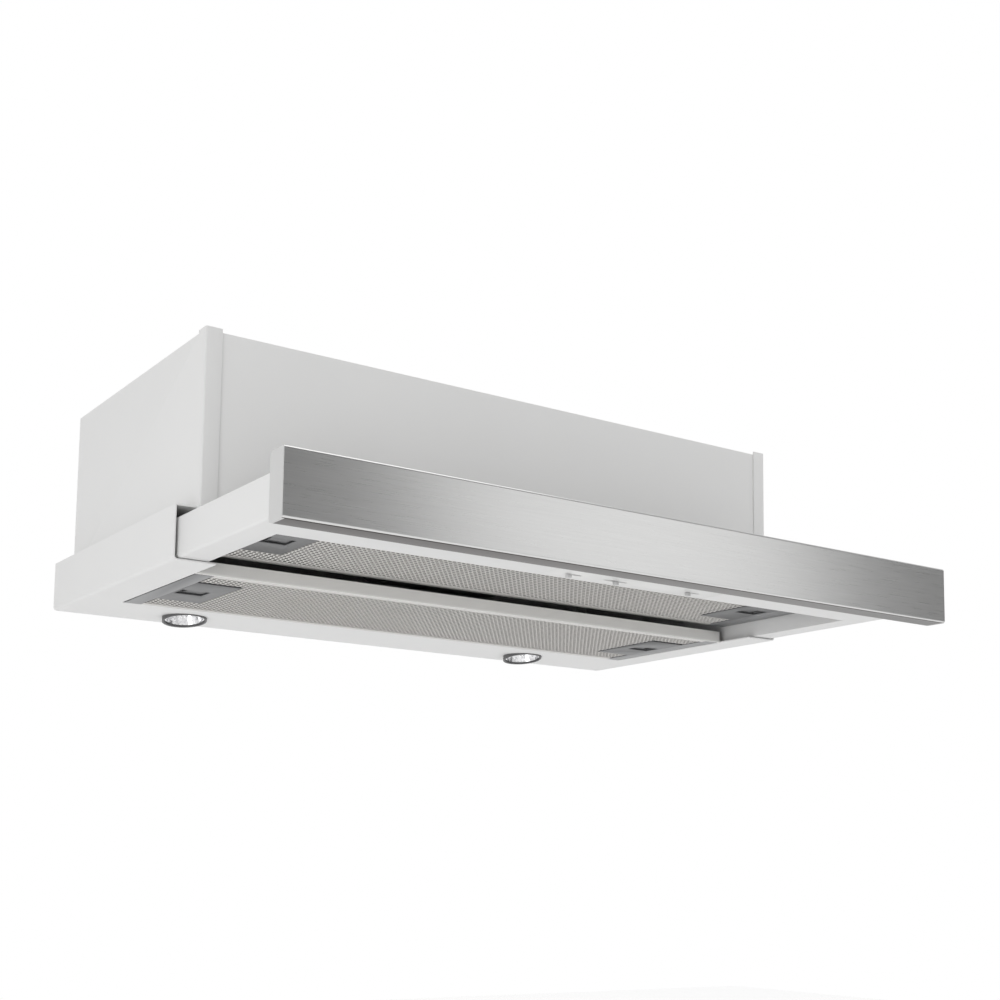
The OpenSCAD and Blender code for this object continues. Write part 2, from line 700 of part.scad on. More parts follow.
// Folded channel frame; hook_side is 1 for hooks at the rear and -1 at the front
module filter_frame(width, hook_side) color(aluminium) {
    strip_x = grip_inner_x + grip_w;
    difference() {
        block([-width / 2, -filter_d / 2, 0], [width / 2, filter_d / 2, filter_t]);
        block([-width / 2 + filter_sheet, -filter_d / 2 + filter_sheet, filter_sheet],
              [width / 2 - filter_sheet, filter_d / 2 - filter_sheet, filter_t - filter_sheet]);
        block([-strip_x, -filter_d / 2 + filter_lip, -cut],
              [strip_x, filter_d / 2 - filter_lip, filter_sheet + cut]);
        block([-width / 2 + 8, -filter_d / 2 + filter_lip, filter_t - filter_sheet - cut],
              [width / 2 - 8, filter_d / 2 - filter_lip, filter_t + cut]);
        block([-width, -tongue_w / 2 - slide_gap, slider_z - slide_gap],
              [width, tongue_w / 2 + slide_gap, slider_z + slider_t + slide_gap]);
    }
    for (x = [-1, 1] * hook_x)
        scale([1, hook_side, 1])
            block([x - hook_w / 2, filter_d / 2 - filter_sheet, slider_z],
                  [x + hook_w / 2, filter_d / 2 + hook_reach, slider_z + 1]);
}

// Pack of expanded metal, drawn as a folded sheet that fills the frame
module filter_mesh(width) color(aluminium) {
    half_w = width / 2 - filter_sheet - fit_gap;
    folds = floor(half_w / mesh_pitch);
    step = half_w / folds;
    fold_h = 1.2;
    low = filter_sheet + fit_gap;
    high = filter_t - filter_sheet - fit_gap;
    lower = [for (k = [-folds * 2:folds * 2]) [k * step / 2, low + (k % 2 == 0 ? 0 : fold_h)]];
    upper = [for (k = [folds * 2:-1:-folds * 2]) [k * step / 2, high - (k % 2 == 0 ? 0 : fold_h)]];
    difference() {
        translate([0, filter_d / 2 - filter_sheet - fit_gap, 0]) rotate([90, 0, 0])
            linear_extrude(height = filter_d - 2 * (filter_sheet + fit_gap)) polygon(concat(lower, upper));
        for (side = [-1, 1])
            on_side(side) block([grip_inner_x - 1, -grip_l / 2 - 1, 0],
                                [width, grip_l / 2 + 1, slider_z + slider_t + 1.2]);
    }
}

// Grey plate with a window for the latch and two guide ribs above it
module filter_grip(side) color(grip_grey) on_side(side) {
    difference() {
        block([grip_inner_x, -grip_l / 2, 0], [grip_inner_x + grip_w, grip_l / 2, grip_t]);
        block([grip_inner_x + grip_w - window_inset - window_w, -window_l / 2, -cut],
              [grip_inner_x + grip_w - window_inset, window_l / 2, grip_t + cut]);
    }
    for (y = [-1, 1] * (slider_w / 2 + slide_gap + 0.75))
        block([grip_inner_x + 2, y - 0.75, grip_t], [grip_inner_x + grip_w, y + 0.75, grip_t + 3]);
}

// Slide with a U-shaped finger slot and a tongue that holds the filter up
module filter_latch(side, width) color(grip_grey) on_side(side) difference() {
    slot_x = grip_inner_x + grip_w - window_inset;
    union() {
        block([grip_inner_x + 6, -slider_w / 2, slider_z],
              [width / 2 - 2, slider_w / 2, slider_z + slider_t]);
        block([width / 2 - 3, -tongue_w / 2, slider_z],
              [width / 2 + tongue_reach, tongue_w / 2, slider_z + slider_t]);
    }
    block([slot_x - 7, -window_l / 2 + 1, slider_z - cut],
          [slot_x - 1, window_l / 2 - 1, slider_z + slider_t + cut]);
    for (y = [-1, 1] * (window_l / 2 - 2))
        block([slot_x - 18, y - 1, slider_z - cut], [slot_x - 1, y + 1, slider_z + slider_t + cut]);
}

module fixed_filter_frame() at_fixed_filter() filter_frame(fixed_filter_w, 1);
module fixed_filter_mesh() at_fixed_filter() filter_mesh(fixed_filter_w);
module fixed_filter_grip_left() at_fixed_filter() filter_grip(-1);
module fixed_filter_grip_right() at_fixed_filter() filter_grip(1);
module fixed_filter_latch_left() at_fixed_filter() filter_latch(-1, fixed_filter_w);
module fixed_filter_latch_right() at_fixed_filter() filter_latch(1, fixed_filter_w);
module drawer_filter_frame() at_drawer_filter() filter_frame(drawer_filter_w, -1);
module drawer_filter_mesh() at_drawer_filter() filter_mesh(drawer_filter_w);
module drawer_filter_grip_left() at_drawer_filter() filter_grip(-1);
module drawer_filter_grip_right() at_drawer_filter() filter_grip(1);
module drawer_filter_latch_left() at_drawer_filter() filter_latch(-1, drawer_filter_w);
module drawer_filter_latch_right() at_drawer_filter() filter_latch(1, drawer_filter_w);

// ---------- drawer ----------

module drawer_tray() color(white_paint) difference() {
    union() {
        difference() {
            intersection() {
                soft_block([-drawer_w / 2, drawer_front_y, drawer_bottom_z],
                           [drawer_w / 2, drawer_rear_y + 20, 20],
                           tray_edge_r);
                block([-drawer_w, drawer_front_y - cut, drawer_bottom_z - cut],
                      [drawer_w, drawer_rear_y, drawer_top_z]);
            }
            soft_block([-drawer_w / 2 + sheet, drawer_front_y + sheet, drawer_bottom_z + sheet],
                       [drawer_w / 2 - sheet, drawer_rear_y + 30, 30], tray_edge_r - sheet);
            block([-drawer_opening_w / 2, drawer_opening_y, drawer_bottom_z - cut],
                  [drawer_opening_w / 2, drawer_rear_y + cut, drawer_bottom_z + 2 * sheet]);
        }
        for (side = [-1, 1])
            on_side(side) {
                // Top flange, inner wall and the seat over the filter's end
                block([drawer_w / 2 - tray_flange_w, drawer_front_y + sheet, drawer_top_z - sheet],
                      [drawer_w / 2 - sheet / 2, drawer_rear_y, drawer_top_z]);
                block([drawer_opening_w / 2, drawer_opening_y - sheet, drawer_bottom_z],
                      [drawer_opening_w / 2 + sheet, drawer_rear_y, seat_z + sheet]);
                block([drawer_opening_w / 2 - seat_w, drawer_opening_y - sheet, seat_z],
                      [drawer_opening_w / 2 + sheet, drawer_rear_y, seat_z + sheet]);
                // Rear end of the arm, which presses the switch
                block([drawer_opening_w / 2, drawer_rear_y - sheet, drawer_bottom_z + sheet / 2],
                      [box_w / 2 - 1.5 * sheet, drawer_rear_y, seat_z + sheet]);
            }
        // Front inner wall
        block([-drawer_opening_w / 2, drawer_opening_y - sheet, drawer_bottom_z],
              [drawer_opening_w / 2, drawer_opening_y, seat_z + sheet]);
    }
    // Opening of the control plate
    block([control_left_x, drawer_front_y + 2 * sheet, drawer_bottom_z - cut],
          [control_right_x, drawer_opening_y - 2 * sheet, drawer_bottom_z + 2 * sheet]);
    // Slots of the filter's latches and hooks
    slot_z = drawer_filter_z + slider_z;
    for (side = [-1, 1])
        on_side(side)
            block([drawer_opening_w / 2 - cut, drawer_filter_y - tongue_w / 2 - cut, slot_z - slide_gap],
                  [drawer_opening_w / 2 + 2 * sheet, drawer_filter_y + tongue_w / 2 + cut,
                   slot_z + slider_t + slide_gap]);
    for (x = [-1, 1] * hook_x)
        block([x - hook_w / 2 - cut, drawer_opening_y - 2 * sheet, slot_z - fit_gap],
              [x + hook_w / 2 + cut, drawer_opening_y + cut, slot_z + 1 + fit_gap]);
    for (place = fascia_screw_places())
        translate([place[0], drawer_front_y - cut, place[1]]) rotate([-90, 0, 0])
            cylinder(r = 1.7, h = 3 * sheet);
}

// Two rows of screws, given by how far they are from the drawer's ends and its bottom and top
function fascia_screw_places() =
    [for (side = [-1, 1], inset = [37, 157], z = [drawer_bottom_z + 6.5, drawer_top_z - 6])
        [side * (drawer_w / 2 - inset), z]];

// Outline of the fascia seen along its length, grown inwards by a wall
module fascia_outline(wall)
    translate([fascia_front_y + fascia_d / 2, fascia_z + fascia_h / 2])
        rounded_square(fascia_d - 2 * wall, fascia_h - 2 * wall, fascia_fold_r - wall);

module fascia_panel() color(steel) difference() {
    translate([-fascia_w / 2, 0, 0]) along_x(fascia_w) difference() {
        fascia_outline(0);
        fascia_outline(fascia_t);
        // Gap between the two rear lips
        translate([drawer_front_y - 2 * fascia_t, fascia_z + fascia_lip])
            square([3 * fascia_t, fascia_h - 2 * fascia_lip]);
    }
    // Room for the end caps behind the front sheet
    for (side = [-1, 1])
        on_side(side) block([fascia_w / 2 - cap_t, fascia_front_y + fascia_t, fascia_z - cut],
                            [fascia_w / 2 + cut, drawer_front_y + cut, fascia_z + fascia_h + cut]);
    for (place = fascia_screw_places())
        translate([place[0], drawer_front_y - 2 * fascia_t, place[1]]) rotate([-90, 0, 0])
            cylinder(r = 1.7, h = 3 * fascia_t);
}

module fascia_cap(side) color([0.85, 0.85, 0.84]) on_side(side) {
    intersection() {
        translate([fascia_w / 2 - cap_t, 0, 0]) along_x(cap_t) fascia_outline(0);
        block([0, fascia_front_y + fascia_t, fascia_z - cut],
              [fascia_w, drawer_front_y, fascia_z + fascia_h + cut]);
    }
    block([fascia_w / 2 - 3 * cap_t, fascia_front_y + fascia_t + fit_gap, fascia_z + fascia_t + fit_gap],
          [fascia_w / 2 - cap_t, drawer_front_y - fascia_t - fit_gap,
           fascia_z + fascia_h - fascia_t - fit_gap]);
}

module fascia_cap_left() fascia_cap(-1);
module fascia_cap_right() fascia_cap(1);

// ---------- controls ----------

// Slot of one knob, which runs from low_x to high_x along the plate
module knob_slot(low_x, high_x, z0, z1)
    block([low_x - stem_l / 2 - slide_gap, control_y - slot_w / 2, z0],
          [high_x + stem_l / 2 + slide_gap, control_y + slot_w / 2, z1]);

module knob_slots(z0, z1) {
    knob_slot(light_knob_x, light_knob_x + short_travel, z0, z1);
    knob_slot(speed_knob_x - speed_travel, speed_knob_x + speed_travel, z0, z1);
    knob_slot(power_knob_x, power_knob_x + short_travel, z0, z1);
}

module control_plate() color(white_paint) difference() {
    block([control_left_x + slide_gap, drawer_front_y + 2 * sheet + slide_gap, drawer_bottom_z],
          [control_right_x - slide_gap, drawer_opening_y - 2 * sheet - slide_gap,
           drawer_bottom_z + control_t]);
    knob_slots(drawer_bottom_z - cut, drawer_bottom_z + control_t + cut);
}

module switch_box() color(dark) difference() {
    block([control_left_x + 5, control_y - 8, drawer_bottom_z + control_t],
          [control_right_x - 5, control_y + 8, drawer_bottom_z + control_t + switch_box_h]);
    knob_slots(drawer_bottom_z, drawer_bottom_z + control_t + 6);
}

module slide_knob(x) color(grip_grey) {
    translate([x, control_y, drawer_bottom_z - knob_h - fit_gap]) linear_extrude(height = knob_h)
        rounded_square(knob_l, knob_w, 0.8);
    block([x - stem_l / 2, control_y - slot_w / 2 + slide_gap, drawer_bottom_z - 1.5],
          [x + stem_l / 2, control_y + slot_w / 2 - slide_gap, drawer_bottom_z + control_t + 5]);
}

module light_knob() slide_knob(light_knob_x);
module speed_knob() slide_knob(speed_knob_x);
module power_knob() slide_knob(power_knob_x);

// ---------- screws ----------

module top_screws() color(steel) {
    for (x = [-1, 1] * (box_w - flange_w) / 2, y = top_screw_ys())
        translate([x, y, top_z + sheet]) screw(2 * sheet);
    for (place = outlet_screw_places())
        translate([place[0], place[1], top_z + sheet + duct_t]) screw(duct_t + sheet + scroll_t);
}

module motor_screws() color(steel)
    for (a = [90:120:330])
        translate([scroll_w / 2 + scroll_t + 2, blower_y, blower_z]) rotate([a, 0, 0])
            translate([0, motor_screw_r, 0]) rotate([0, 90, 0]) screw(2 + scroll_t);

module fascia_screws() color(steel)
    for (place = fascia_screw_places())
        translate([place[0], drawer_front_y + sheet, place[1]]) rotate([-90, 0, 0]) screw(sheet + fascia_t);

canopy_frame();
filter_cross_bar();
box_side_left();
box_side_right();
box_front_panel();
box_back_panel();
box_top_panel();
duct_spigot();
damper_pin();
damper_flap_front();
damper_flap_rear();
blower_scroll();
inlet_ring();
impeller();
motor_shaft();
motor_body();
motor_bracket();
capacitor();
lamp_transformer();
terminal_box();
terminal_box_lid();
cable_gland();
drawer_switch();
drawer_switch_plunger();
rail_fixed_left();
rail_fixed_right();
rail_middle_left();
rail_middle_right();
rail_inner_left();
rail_inner_right();
lamp_ring_left();
lamp_ring_right();
lamp_reflector_left();
lamp_reflector_right();
lamp_holder_left();
lamp_holder_right();
fixed_filter_frame();
fixed_filter_mesh();
fixed_filter_grip_left();
fixed_filter_grip_right();
fixed_filter_latch_left();
fixed_filter_latch_right();
drawer_filter_frame();
drawer_filter_mesh();
drawer_filter_grip_left();
drawer_filter_grip_right();
drawer_filter_latch_left();
drawer_filter_latch_right();
drawer_tray();
fascia_panel();
fascia_cap_left();
fascia_cap_right();
control_plate();
switch_box();
light_knob();
speed_knob();
power_knob();
top_screws();
motor_screws();
fascia_screws();
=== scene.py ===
import math

import bpy
from mathutils import Matrix, Vector


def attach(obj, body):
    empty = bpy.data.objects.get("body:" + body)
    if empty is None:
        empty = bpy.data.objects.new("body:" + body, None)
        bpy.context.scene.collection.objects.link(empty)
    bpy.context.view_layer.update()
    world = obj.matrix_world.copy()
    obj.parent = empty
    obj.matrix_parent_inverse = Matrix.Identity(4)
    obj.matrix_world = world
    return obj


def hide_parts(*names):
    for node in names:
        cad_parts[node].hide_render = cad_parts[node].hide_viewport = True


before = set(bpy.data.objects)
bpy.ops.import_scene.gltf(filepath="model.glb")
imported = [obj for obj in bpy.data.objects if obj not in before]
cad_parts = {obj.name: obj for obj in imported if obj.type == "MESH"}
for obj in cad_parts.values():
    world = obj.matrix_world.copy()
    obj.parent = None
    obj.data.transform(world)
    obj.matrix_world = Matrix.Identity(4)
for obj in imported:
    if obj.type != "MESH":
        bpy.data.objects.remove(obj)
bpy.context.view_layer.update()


# ---------- canopy ----------
# Sheet steel folded into a shallow tray with an open top and a large opening for the filters.
# It is powder coated white; the folds have a small radius, and four screws hold its ledges
# up against the lower edges of the wall cabinet.


class Value:
    """An output of a shader node, on which Python arithmetic adds Math nodes"""

    def __init__(self, finish, socket):
        self.finish = finish
        self.socket = socket

    def maths(self, operation, first, second):
        return self.finish.node("ShaderNodeMath", {"operation": operation}, {0: first, 1: second})

    def __add__(self, other):
        return self.maths("ADD", self, other)

    def __sub__(self, other):
        return self.maths("SUBTRACT", self, other)

    def __rsub__(self, other):
        return self.maths("SUBTRACT", other, self)

    def __mul__(self, other):
        return self.maths("MULTIPLY", self, other)

    def size(self):
        return self.maths("ABSOLUTE", self, 0)

    def __gt__(self, other):
        return self.maths("GREATER_THAN", self, other)

    def __lt__(self, other):
        return self.maths("LESS_THAN", self, other)

    __radd__ = __add__
    __rmul__ = __mul__


class Finish:
    """A material made of nodes; the constants go straight on its shader"""

    def __init__(self, name, **constants):
        self.material = bpy.data.materials.new(name)
        self.material.use_nodes = True
        self.tree = self.material.node_tree
        self.shader = self.tree.nodes["Principled BSDF"]
        self.shade(**constants)

    def shade(self, **sockets):
        for name, value in sockets.items():
            socket = self.shader.inputs[name.replace("_", " ")]
            if isinstance(value, Value):
                self.tree.links.new(value.socket, socket)
            else:
                socket.default_value = value

    def node(self, kind, settings, inputs, output=0):
        made = self.tree.nodes.new(kind)
        for name, setting in settings.items():
            if name == "stops":
                stops = made.color_ramp.elements
                for place, (position, colour) in enumerate(setting):
                    stop = stops[place] if place < 2 else stops.new(position)
                    stop.position = position
                    stop.color = colour
            else:
                setattr(made, name, setting)
        for socket, value in inputs.items():
            if isinstance(value, Value):
                self.tree.links.new(value.socket, made.inputs[socket])
            else:
                made.inputs[socket].default_value = value
        return Value(self, made.outputs[output])

    def along(self, axis):
        """How far along one axis of the object the surface is, in metres"""
        return self.node("ShaderNodeSeparateXYZ", {}, {"Vector": self.place()}, axis)

    def place(self, stretch=(1, 1, 1), turn=(0, 0, 0)):
        """Where on the object the surface is, in metres, stretched or turned for a pattern"""
        where = self.node("ShaderNodeTexCoord", {}, {}, "Object")
        return self.node("ShaderNodeMapping", {}, {"Vector": where, "Scale": stretch, "Rotation": turn})

    def noise(self, per_metre, detail=2, stretch=(1, 1, 1)):
        settings = {"noise_dimensions": "3D"}
        inputs = {"Vector": self.place(stretch), "Scale": per_metre, "Detail": detail}
        return self.node("ShaderNodeTexNoise", settings, inputs, "Fac")

    def mix(self, factor, first, second):
        return self.blend(factor, (*first, 1), (*second, 1))

    def blend(self, factor, first, second):
        return self.node("ShaderNodeMix", {"data_type": "RGBA"}, {0: factor, 6: first, 7: second}, 2)

    def bump(self, height, depth, strength=1):
        """Surface normal of a height between 0 and 1 that stands for depth in metres"""
        return self.node("ShaderNodeBump", {}, {"Height": height, "Distance": depth, "Strength": strength})


def shade_of(colour, factor):
    return tuple(part * factor for part in colour)


def powder_coat(name, colour, roughness=0.42):
    """Satin powder coat with a fine orange peel and faint clouds"""
    finish = Finish(name, IOR=1.5)
    peel = finish.noise(700, 3)
    clouds = finish.noise(14, 2)
    finish.shade(
        Base_Color=finish.mix(clouds, shade_of(colour, 0.975), colour),
        Roughness=roughness + 0.1 * peel,
        Normal=finish.bump(peel, 0.00003, 0.35),
    )
    return finish


def eased(node, name, width, segments=2, smooth=40):
    """New piece made from a CAD node, its sharp edges rounded over as folding or moulding leaves them"""
    bpy.ops.object.select_all(action="DESELECT")
    piece = bpy.data.objects.new(name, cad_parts[node].data.copy())
    bpy.context.scene.collection.objects.link(piece)
    bpy.context.view_layer.objects.active = piece
    piece.select_set(True)
    bpy.ops.mesh.customdata_custom_splitnormals_clear()
    bpy.ops.object.mode_set(mode="EDIT")
    bpy.ops.mesh.select_all(action="SELECT")
    bpy.ops.mesh.remove_doubles(threshold=0.00001)
    bpy.ops.mesh.dissolve_limited(angle_limit=math.radians(0.5))
    bpy.ops.object.mode_set(mode="OBJECT")
    bevel = piece.modifiers.new("edges", "BEVEL")
    bevel.width = width
    bevel.segments = segments
    bevel.limit_method = "ANGLE"
    bevel.angle_limit = math.radians(smooth)
    bpy.ops.object.modifier_apply(modifier=bevel.name)
    bpy.ops.object.shade_smooth_by_angle(angle=math.radians(smooth))
    return piece


def fit(piece, finish, slot, body, *nodes):
    """Gives a new piece its finish and its body, and lets it stand for CAD nodes"""
    piece.data.materials.clear()
    piece.data.materials.append(finish.material)
    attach(piece, body)
    if nodes:
        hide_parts(*nodes)
    return piece


def paint(finish, *nodes):
    """Gives CAD nodes whose shape is right their finish"""
    for node in nodes:
        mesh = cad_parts[node].data
        mesh.materials.clear()
        mesh.materials.append(finish.material)


white = (0.80, 0.80, 0.795)
white_coat = powder_coat("white_powder_coat", white)
paint(white_coat, "canopy_frame")


# ---------- upper box ----------
# Five panels of the same white sheet, screwed together into the box that stands in the cabinet.
# The side panels are folded in at the front, where they show as two narrow flanges beside
# the slightly lower front panel.

for side in ("left", "right"):
    node = "box_side_" + side
    fit(eased(node, "side_panel_" + side, 0.0003), white_coat, "white_paint", "housing", node)
for panel in ("front", "back", "top"):
    node = "box_%s_panel" % panel
    fit(eased(node, panel + "_panel", 0.0003), white_coat, "white_paint", "housing", node)


# ---------- duct spigot and damper ----------
# Moulded black collar on the top panel, which takes a 120 mm duct, with two half-round flaps
# on a steel pin that fall shut when the blower stops.


def moulded(name, colour, roughness=0.5, grain=0.00002):
    """Injection moulded plastic with a fine spark-eroded grain"""
    finish = Finish(name, IOR=1.46)
    spark = finish.noise(2600, 3)
    flow = finish.noise(25, 2)
    finish.shade(
        Base_Color=finish.mix(flow, shade_of(colour, 0.88), shade_of(colour, 1.1)),
        Roughness=roughness - 0.06 + 0.12 * spark,
        Normal=finish.bump(spark, grain, 0.5),
    )
    return finish


def plated(name, colour, roughness):
    """Zinc plated steel with slightly uneven gloss"""
    finish = Finish(name, Metallic=1)
    patches = finish.noise(300, 3)
    finish.shade(
        Base_Color=finish.mix(patches, shade_of(colour, 0.88), colour),
        Roughness=roughness - 0.07 + 0.14 * patches,
        Normal=finish.bump(patches, 0.00001, 0.3),
    )
    return finish


black_plastic = moulded("black_moulding", (0.022, 0.022, 0.024))
zinc = plated("zinc_plate", (0.6, 0.6, 0.61), 0.32)
for node in ("duct_spigot", "damper_flap_front", "damper_flap_rear"):
    body = {"damper_flap_front": "damper_front", "damper_flap_rear": "damper_rear"}.get(node, "housing")
    fit(eased(node, node + "_moulding", 0.0003), black_plastic, "black_plastic", body, node)
paint(zinc, "damper_pin")


# ---------- blower ----------
# Galvanised scroll housing with a double row of forward curved blades inside, driven by a
# shaded-pole motor on its right; a black bellmouth leads the air in on the left.


def galvanised(name, colour):
    """Hot dipped zinc with its crystals, each of its own brightness"""
    finish = Finish(name, Metallic=1)
    inputs = {"Vector": finish.place(), "Scale": 110}
    crystals = finish.node("ShaderNodeTexVoronoi", {"feature": "F1"}, inputs, "Color")
    level = finish.node("ShaderNodeSeparateColor", {}, {"Color": crystals}, "Red")
    finish.shade(
        Base_Color=finish.mix(level, shade_of(colour, 0.8), colour),
        Roughness=0.34 + 0.16 * level,
        Normal=finish.bump(level, 0.00001, 0.3),
    )
    return finish


galvanised_sheet = galvanised("galvanised_sheet", (0.5, 0.51, 0.52))
paint(galvanised_sheet, "blower_scroll", "motor_body", "motor_bracket")
paint(black_plastic, "inlet_ring", "impeller")
paint(zinc, "motor_shaft", "motor_screws")


# ---------- electrical pieces ----------
# Motor capacitor, lamp transformer and a black terminal box under the top panel, whose gland
# takes the mains cable, and the switch that the drawer's left arm presses when it is shut.

ceramic = moulded("ceramic_white", (0.72, 0.71, 0.68), 0.3, 0.000005)
white_plastic = moulded("white_moulding", (0.78, 0.78, 0.77), 0.4)
paint(ceramic, "capacitor")
paint(black_plastic, "lamp_transformer", "terminal_box", "terminal_box_lid", "drawer_switch")
paint(white_plastic, "drawer_switch_plunger")
gland_nut = eased("cable_gland", "cable_gland_nut", 0.0004)
fit(gland_nut, black_plastic, "black_plastic", "housing", "cable_gland")


# ---------- rails ----------
# Three nested galvanised channels on each side: one on the box, one on the drawer and a
# middle one between them that runs half as far as the drawer.

paint(
    galvanised_sheet,
    "rail_fixed_left", "rail_fixed_right", "rail_middle_left", "rail_middle_right",
    "rail_inner_left", "rail_inner_right",
)


# ---------- lamps ----------
# Two low-voltage halogen lamps in the strip behind the filter. Each is a pressed glass bowl
# with mirror facets and a clear capsule in it, held by a dark snap-in ring that stands proud.

lamp_span = 0.355
lamp_shift = -0.012
lamp_tilt = math.radians(-8)
lamp_face_y = 0.09058
lamp_face_z = -0.04223
bowl_depth = 0.017
bowl_r = 0.0155
bowl_wall = 0.0012
bowl_throat_r = 0.005
bowl_steps = 7
neck_r = 0.0045
neck_flange_r = 0.0062
neck_top = 0.0248
capsule_r = 0.0035
capsule_tip = 0.002
filament_r = 0.0007
axis_r = 0.0001  # points this close to the axis close a turned profile
facets = 26
painted_glints_per_metre = 520

# The mirror's colour runs darker and lighter cell by cell: painted reflection, standing in for the glints
# and grey streaks of its facets.
mirror = Finish("lamp_mirror", Metallic=1)
inputs = {"Vector": mirror.place(), "Scale": painted_glints_per_metre}
painted_facet_glint = mirror.node("ShaderNodeTexVoronoi", {"feature": "F1"}, inputs, "Color")
mirror.shade(
    Base_Color=mirror.mix(painted_facet_glint, (0.5, 0.5, 0.51), (0.97, 0.97, 0.98)),
    Roughness=0.1 + 0.08 * painted_facet_glint,
)
ring_plastic = moulded("lamp_ring_moulding", (0.11, 0.11, 0.112))
capsule_glass = Finish("capsule_glass", Transmission_Weight=1, IOR=1.47)
ripple = capsule_glass.noise(400, 1)
capsule_glass.shade(
    Base_Color=capsule_glass.mix(ripple, (0.95, 0.95, 0.96), (1, 1, 1)),
    Roughness=0.02 + 0.02 * ripple,
)
filament_metal = Finish("filament", Metallic=1, Emission_Strength=1)
glow = filament_metal.noise(4000, 1)
filament_metal.shade(
    Base_Color=filament_metal.mix(glow, (0.3, 0.28, 0.26), (0.5, 0.47, 0.44)),
    Roughness=0.4 + 0.1 * glow,
)


def started(name, primitive, **sizes):
    """Adds a primitive with nothing else selected, named, and ready to be shaped"""
    bpy.ops.object.select_all(action="DESELECT")
    getattr(bpy.ops.mesh, "primitive_%s_add" % primitive)(**sizes)
    bpy.context.object.name = name
    return bpy.context.object


def settled(piece, smooth=40):
    """Puts the piece's place into its mesh and shades it"""
    bpy.ops.object.mode_set(mode="OBJECT")
    bpy.ops.object.select_all(action="DESELECT")
    piece.select_set(True)
    bpy.context.view_layer.objects.active = piece
    bpy.ops.object.transform_apply(location=True, rotation=True, scale=True)
    bpy.ops.object.shade_smooth_by_angle(angle=math.radians(smooth))
    return piece


def pick(piece, kind, test):
    """In edit mode, selects just the faces or vertices for which the test of their place holds"""
    bpy.ops.mesh.select_all(action="DESELECT")
    bpy.ops.object.mode_set(mode="OBJECT")
    parts = piece.data.polygons if kind == "FACE" else piece.data.vertices
    for part in parts:
        part.select = bool(test(part.center if kind == "FACE" else part.co))
    bpy.ops.object.mode_set(mode="EDIT")
    bpy.ops.mesh.select_mode(type=kind)


def turned(name, profile, centre, steps, tilt=0.0):
    """A round piece spun from its profile of (radius, height) points about an upright or tilted axis"""
    piece = started(name, "circle", vertices=3, radius=0.001, location=(0, 0, 0))
    bpy.ops.object.mode_set(mode="EDIT")
    bpy.ops.mesh.delete(type="VERT")
    bpy.ops.mesh.primitive_plane_add(size=0.001, location=(profile[0][0], 0, profile[0][1]))
    bpy.ops.mesh.merge(type="CENTER")
    last = Vector((profile[0][0], 0, profile[0][1]))
    for radius, height in profile[1:]:
        step = Vector((radius, 0, height)) - last
        bpy.ops.mesh.extrude_region_move(TRANSFORM_OT_translate={"value": step})
        last += step
    bpy.ops.mesh.select_all(action="SELECT")
    bpy.ops.mesh.spin(steps=steps, angle=math.tau, center=(0, 0, 0), axis=(0, 0, 1))
    bpy.ops.mesh.select_all(action="SELECT")
    bpy.ops.mesh.remove_doubles(threshold=0.00001)
    bpy.ops.mesh.normals_make_consistent(inside=False)
    bpy.ops.object.mode_set(mode="OBJECT")
    piece.location = centre
    piece.rotation_euler.x = tilt
    return piece


bowl_inside = [
    (bowl_throat_r + (bowl_r - bowl_throat_r) * math.sqrt(k / bowl_steps), bowl_depth * (1 - k / bowl_steps))
    for k in range(bowl_steps + 1)
]
bowl_outside = [(radius + bowl_wall, height) for radius, height in reversed(bowl_inside)]
neck = [
    (neck_flange_r, bowl_depth + 0.0002),
    (neck_r, bowl_depth + 0.0004),
    (neck_r, neck_top),
    (axis_r, neck_top),
]
throat = [(axis_r, bowl_depth - 0.001), (neck_r, bowl_depth - 0.001)]
capsule_centre = capsule_tip + capsule_r
capsule_end = [
    (capsule_r * math.sin(a), capsule_centre - capsule_r * math.cos(a)) for a in (0.4, 0.8, 1.2, 1.5708)
]
capsule_shoulder = [(capsule_r, 0.0125), (0.0028, 0.0155), (axis_r, 0.0156)]
capsule_profile = [(axis_r, capsule_tip + 0.0001), *capsule_end, *capsule_shoulder]
filament_profile = [(axis_r, 0.0062), (filament_r, 0.0066), (filament_r, 0.0108), (axis_r, 0.0112)]

for side, lamp_x in (("left", lamp_shift - lamp_span / 2), ("right", lamp_shift + lamp_span / 2)):
    centre = (lamp_x, lamp_face_y, lamp_face_z)
    bowl_profile = throat + bowl_inside + bowl_outside + neck
    bowl = turned("halogen_bowl_" + side, bowl_profile, centre, facets, lamp_tilt)
    fit(settled(bowl, 4), mirror, "reflector", "housing", "lamp_reflector_" + side)
    capsule = turned("halogen_capsule_" + side, capsule_profile, centre, 24, lamp_tilt)
    fit(settled(capsule), capsule_glass, "reflector", "housing")
    filament = turned("halogen_filament_" + side, filament_profile, centre, 12, lamp_tilt)
    fit(settled(filament), filament_metal, "reflector", "housing")
    node = "lamp_ring_" + side
    fit(eased(node, "lamp_ring_moulding_" + side, 0.0002), ring_plastic, "black_plastic", "housing", node)
paint(ceramic, "lamp_holder_left", "lamp_holder_right")


# ---------- grease filters ----------
# Two cassettes of expanded aluminium in a folded aluminium frame, one in the canopy and one
# in the drawer. Each hooks in on one long side and is held by two sprung grey latches
# that slide in plastic grip plates near its ends.


def rolled_aluminium(name, colour, roughness, metallic):
    """Rolled or anodised aluminium with faint roll lines along its length"""
    finish = Finish(name, Metallic=metallic)
    lines = finish.noise(900, 3, (0.03, 1, 1))
    clouds = finish.noise(30, 2)
    finish.shade(
        Base_Color=finish.mix(clouds, shade_of(colour, 0.94), colour),
        Roughness=roughness - 0.05 + 0.1 * lines,
        Normal=finish.bump(lines, 0.00001, 0.3),
    )
    return finish


